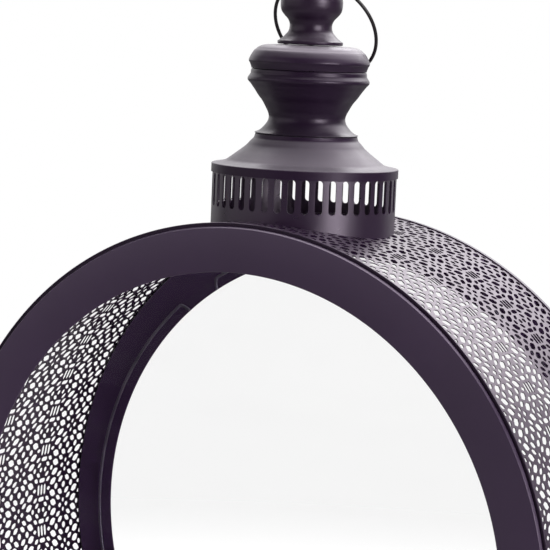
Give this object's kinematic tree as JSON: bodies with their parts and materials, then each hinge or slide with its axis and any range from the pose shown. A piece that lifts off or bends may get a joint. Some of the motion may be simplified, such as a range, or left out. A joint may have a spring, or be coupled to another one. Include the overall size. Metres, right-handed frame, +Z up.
{
  "type": "solar lantern",
  "caption": "Round drum lantern of perforated sheet metal with a glazed ring door, slotted chimney, turned top, ring handle and a solar pillar light inside.",
  "frame": {"origin": "centre of the underside of the felt pad, on the ground", "axes": "+Z up the lantern, front door towards -Y, +X to the right seen from the front, where the door hinge is"},
  "size_m": [0.3854, 0.1594, 0.5401],
  "materials": {
    "drum_paint": "satin dark aubergine paint",
    "door_paint": "satin dark aubergine paint",
    "chimney_paint": "satin dark aubergine paint",
    "turned_paint": "satin dark aubergine paint over cast and spun metal",
    "base_paint": "satin dark aubergine paint",
    "ring_wire": "dark coated wire",
    "spring_wire": "dark spring wire",
    "zinc_steel": "zinc plated",
    "clear_glass": "clear float glass, polished",
    "felt": "black felt",
    "ivory_resin": "wax-like ivory resin",
    "ivory_plastic": "moulded ivory plastic",
    "solar_silicon": "dark blue silicon with silver fingers",
    "clear_cover": "clear moulded cover",
    "amber_lens": "frosted warm lens",
    "led_epoxy": "clear epoxy",
    "board_green": "solder mask",
    "battery_sleeve": "plain shrink sleeve",
    "black_plastic": "moulded black plastic",
    "red_wire": "insulated lead"
  },
  "bodies": {
    "lantern": {"perforated_band": "drum_paint", "front_hoop": "drum_paint", "rear_hoop": "drum_paint", "rear_frame": "drum_paint", "rear_lug_1": "drum_paint", "rear_lug_2": "drum_paint", "rear_lug_3": "drum_paint", "hinge_leaf_body": "drum_paint", "chimney_collar": "chimney_paint", "skirt_roof": "chimney_paint", "waist_body": "turned_paint", "cap": "turned_paint", "finial": "turned_paint", "hanging_eye": "turned_paint", "pedestal": "base_paint", "base_plate": "base_paint", "floor_tray": "base_paint", "tray_bracket_left": "base_paint", "tray_bracket_right": "base_paint", "candle_cup": "base_paint", "hinge_pin": "zinc_steel", "tie_rod": "zinc_steel", "tie_nut": "zinc_steel", "tie_washer": "zinc_steel", "base_screw_1": "zinc_steel", "base_screw_2": "zinc_steel", "base_screw_3": "zinc_steel", "base_screw_4": "zinc_steel", "drum_bolt_front": "zinc_steel", "drum_bolt_rear": "zinc_steel", "drum_nut_front": "zinc_steel", "drum_nut_rear": "zinc_steel", "rear_glass": "clear_glass", "rear_glass_wire": "spring_wire", "base_felt": "felt"},
    "door": {"door_ring": "door_paint", "front_glass": "clear_glass", "front_clip_1": "door_paint", "front_clip_2": "door_paint", "front_clip_3": "door_paint", "hinge_leaf_door": "door_paint"},
    "latch": {"latch_knob": "door_paint", "latch_tongue": "door_paint", "latch_nut": "zinc_steel"},
    "ring": {"ring_handle": "ring_wire"},
    "pillar": {"pillar_base": "ivory_plastic", "pillar_body": "ivory_resin", "pillar_deck": "ivory_plastic", "solar_cell": "solar_silicon", "cell_cover": "clear_cover", "flame_lens": "amber_lens", "led": "led_epoxy", "circuit_board": "board_green", "battery": "battery_sleeve", "battery_holder": "black_plastic", "battery_door": "ivory_plastic", "battery_door_screw": "zinc_steel", "switch_body": "zinc_steel", "battery_lead": "red_wire"},
    "switch": {"switch_knob": "black_plastic"}
  },
  "joints": [
    {"name": "door_swing", "type": "hinge", "parent": "lantern", "child": "door", "pos_m": [0.1928, -0.0723, 0.21], "axis": [0, 0, 1], "range_deg": [0, 110]},
    {"name": "latch_turn", "type": "hinge", "parent": "door", "child": "latch", "pos_m": [-0.176, -0.07, 0.21], "axis": [0, -1, 0], "range_deg": [0, 90]},
    {"name": "ring_swing", "type": "hinge", "parent": "lantern", "child": "ring", "pos_m": [0, 0, 0.53275], "axis": [1, 0, 0], "range_deg": [0, 294]},
    {"name": "pillar_lift", "type": "slide", "parent": "lantern", "child": "pillar", "axis": [0, 0, 1], "range_m": [0, 0.06]},
    {"name": "switch_slide", "type": "slide", "parent": "pillar", "child": "switch", "axis": [1, 0, 0], "range_m": [0, 0.0044]}
  ]
}
